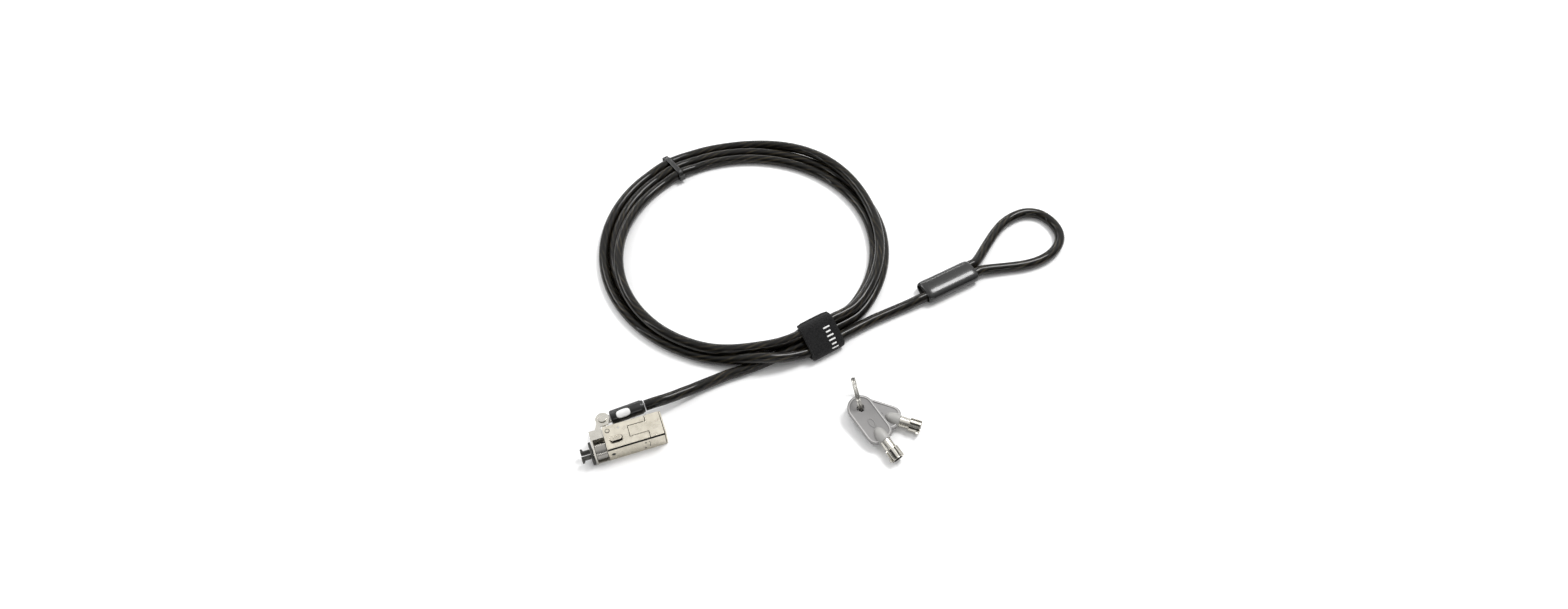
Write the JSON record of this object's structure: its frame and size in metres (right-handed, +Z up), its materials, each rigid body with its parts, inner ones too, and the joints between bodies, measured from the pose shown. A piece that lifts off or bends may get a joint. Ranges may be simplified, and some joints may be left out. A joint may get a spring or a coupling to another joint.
{
  "type": "laptop cable lock",
  "caption": "Laptop security cable lock: metal lock head with slot claws on a swivel bracket, coiled vinyl-covered steel cable with a crimped end loop, and tubular keys on a split ring.",
  "frame": {"origin": "on the underside of the lock head's base cover, near its middle, on the surface that the lock rests on", "axes": "+X along the lock head from its nose to its keyway, +Y across it towards the cable sleeve, +Z up"},
  "size_m": [0.2879, 0.2348, 0.0172],
  "materials": {
    "champagne_nickel": "satin nickel plate with a warm champagne tint",
    "bright_nickel": "bright nickel plate",
    "dark_steel": "hardened dark steel",
    "plain_steel": "plain machined steel",
    "brass": "turned brass",
    "spring_steel": "drawn spring wire",
    "smoky_vinyl": "glossy smoky vinyl over twisted wire rope",
    "black_plastic": "moulded black plastic",
    "black_fabric": "matte hook-and-loop tape",
    "gloss_black_metal": "gloss black sleeve over an aluminium crimp",
    "grey_plastic": "fine-textured warm grey plastic"
  },
  "bodies": {
    "cable": {"cable_lead": "smoky_vinyl", "cable_coil": "smoky_vinyl", "cable_tail": "smoky_vinyl", "cable_loop": "smoky_vinyl", "crimp_ferrule": "gloss_black_metal", "hook_loop_tie": "black_fabric", "cable_clip": "black_plastic", "cable_sleeve": "black_plastic", "cable_end_fitting": "plain_steel"},
    "bracket": {"swivel_bracket": "bright_nickel", "ear_rivet": "bright_nickel"},
    "head": {"lock_housing": "champagne_nickel", "base_cover": "plain_steel", "top_plate_front": "champagne_nickel", "top_plate_rear": "champagne_nickel", "rear_cap": "champagne_nickel", "cover_rivet": "champagne_nickel", "side_pin": "plain_steel", "nose_barrel": "bright_nickel", "nose_collar": "dark_steel", "cylinder_shell": "brass", "thumb_spring": "spring_steel"},
    "plug": {"lock_plug": "bright_nickel", "face_cam": "plain_steel", "pin_spring_1": "spring_steel", "pin_spring_2": "spring_steel", "pin_spring_3": "spring_steel", "pin_spring_4": "spring_steel", "pin_spring_5": "spring_steel"},
    "pins": {"driver_pin_1": "brass", "driver_pin_2": "brass", "driver_pin_3": "brass", "driver_pin_4": "brass", "driver_pin_5": "brass"},
    "drive": {"drive_slider": "plain_steel"},
    "rear_claw": {"claw_rear": "dark_steel"},
    "front_claw": {"claw_front": "dark_steel"},
    "thumb": {"thumb_slider": "champagne_nickel"},
    "key_ring": {"split_ring": "bright_nickel"},
    "rear_key": {"key_rear_bow": "grey_plastic", "key_rear_shank": "bright_nickel"},
    "front_key": {"key_front_bow": "grey_plastic", "key_front_shank": "bright_nickel"}
  },
  "joints": [
    {"name": "ear_pivot", "type": "hinge", "parent": "cable", "child": "bracket", "pos_m": [-0.0128, 0.0109, 0.0075], "axis": [0, 0, 1], "range_deg": [-140, 0]},
    {"name": "head_swivel", "type": "hinge", "parent": "bracket", "child": "head", "pos_m": [0, -0.0034, 0.005], "axis": [1, 0, 0], "range_deg": [-180, 180]},
    {"name": "plug_turn", "type": "hinge", "parent": "head", "child": "plug", "pos_m": [0, 0.0009, 0.00475], "axis": [1, 0, 0], "range_deg": [0, 90]},
    {"name": "pins_press", "type": "slide", "parent": "plug", "child": "pins", "axis": [-1, 0, 0], "range_m": [0, 0.0015], "stiffness_N_per_m": 200, "springref_m": -0.0005, "deforming": ["pin_spring_1", "pin_spring_2", "pin_spring_3", "pin_spring_4", "pin_spring_5"]},
    {"name": "drive_slide", "type": "slide", "parent": "head", "child": "drive", "axis": [1, 0, 0], "range_m": [0, 0.0012]},
    {"name": "rear_claw_slide", "type": "slide", "parent": "head", "child": "rear_claw", "axis": [0, -1, 0], "range_m": [0, 0.0007]},
    {"name": "front_claw_slide", "type": "slide", "parent": "head", "child": "front_claw", "axis": [0, 1, 0], "range_m": [0, 0.0007]},
    {"name": "thumb_slide", "type": "slide", "parent": "head", "child": "thumb", "axis": [0, -1, 0], "range_m": [0, 0.0009], "stiffness_N_per_m": 150, "springref_m": -0.0005, "deforming": ["thumb_spring"]},
    {"name": "keys_lift", "type": "slide", "parent": "cable", "child": "key_ring", "axis": [0, 0, 1], "range_m": [0, 0.06]},
    {"name": "rear_key_swing", "type": "hinge", "parent": "key_ring", "child": "rear_key", "pos_m": [0.1085, -0.02178, 0.0035], "axis": [0, 0, 1], "range_deg": [0, 45]},
    {"name": "front_key_swing", "type": "hinge", "parent": "key_ring", "child": "front_key", "pos_m": [0.10726, -0.02394, 0.0079], "axis": [0, 0, 1], "range_deg": [-60, 0]}
  ],
  "couplings": [
    {"joint": "plug_turn", "follows": "drive_slide", "rad_per_m": 1309},
    {"joint": "rear_claw_slide", "follows": "drive_slide", "ratio": 0.58333},
    {"joint": "front_claw_slide", "follows": "drive_slide", "ratio": 0.58333}
  ]
}
